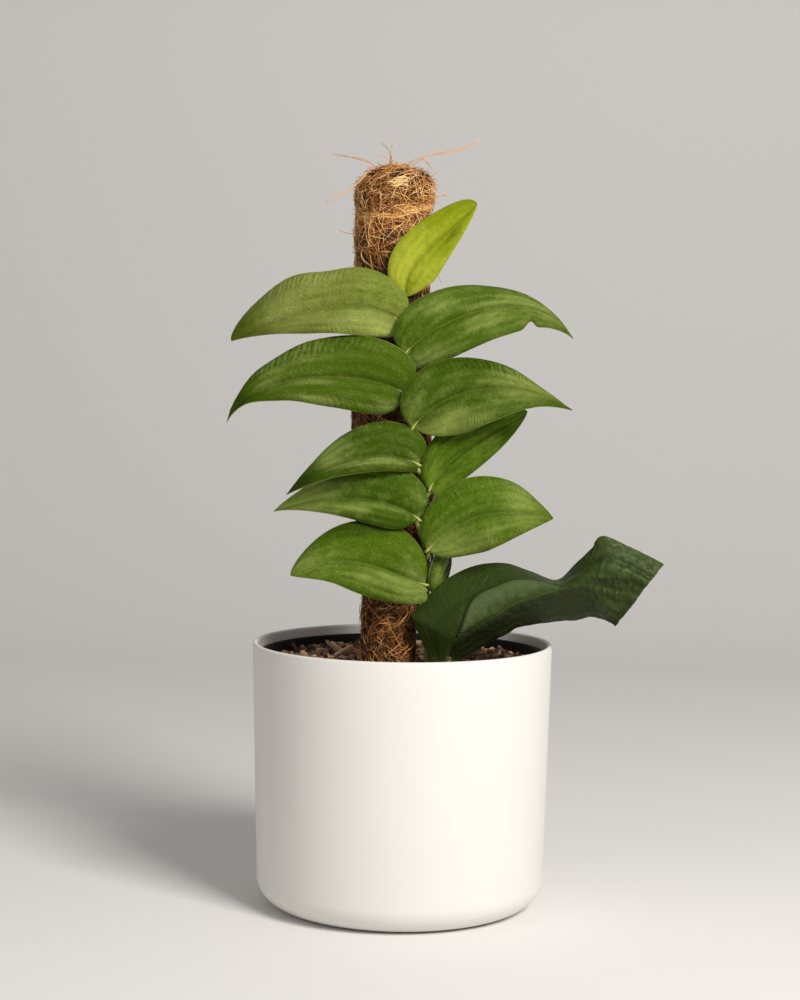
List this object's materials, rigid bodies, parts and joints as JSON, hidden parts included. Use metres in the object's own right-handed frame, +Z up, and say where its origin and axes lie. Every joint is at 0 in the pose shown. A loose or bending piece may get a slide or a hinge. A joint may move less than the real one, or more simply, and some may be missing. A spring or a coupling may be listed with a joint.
{
  "type": "potted rhaphidophora korthalsii",
  "caption": "Climbing shingle plant with glossy green leaves on a coir pole, in soil in a black nursery pot inside a plain white round pot.",
  "frame": {"origin": "centre of the white pot's flat underside, on the surface that it stands on", "axes": "+Z up along the pot's axis; the leaves face -Y, and the big old leaf points to +X"},
  "size_m": [0.2279, 0.16, 0.407],
  "materials": {
    "pot": "satin",
    "nursery_pot": "satin",
    "soil": "matte",
    "pole_stake": "matte",
    "coir_wrap": "matte",
    "stem": "satin",
    "leaf_young": "satin",
    "leaf_fresh": "satin",
    "leaf_mature": "satin",
    "leaf_old": "satin"
  },
  "bodies": {
    "root": {"pot": "pot", "nursery_pot": "nursery_pot", "soil": "soil", "pole_stake": "pole_stake", "coir_wrap": "coir_wrap", "stem": "stem", "leaf_top": "leaf_young", "leaf_left_1": "leaf_fresh", "leaf_right_1": "leaf_mature", "leaf_left_2": "leaf_mature", "leaf_right_2": "leaf_mature", "leaf_left_3": "leaf_mature", "leaf_right_3": "leaf_mature", "leaf_left_4": "leaf_mature", "leaf_right_4": "leaf_mature", "leaf_left_5": "leaf_mature", "leaf_right_5": "leaf_mature", "leaf_basal": "leaf_old"}
  },
  "joints": []
}
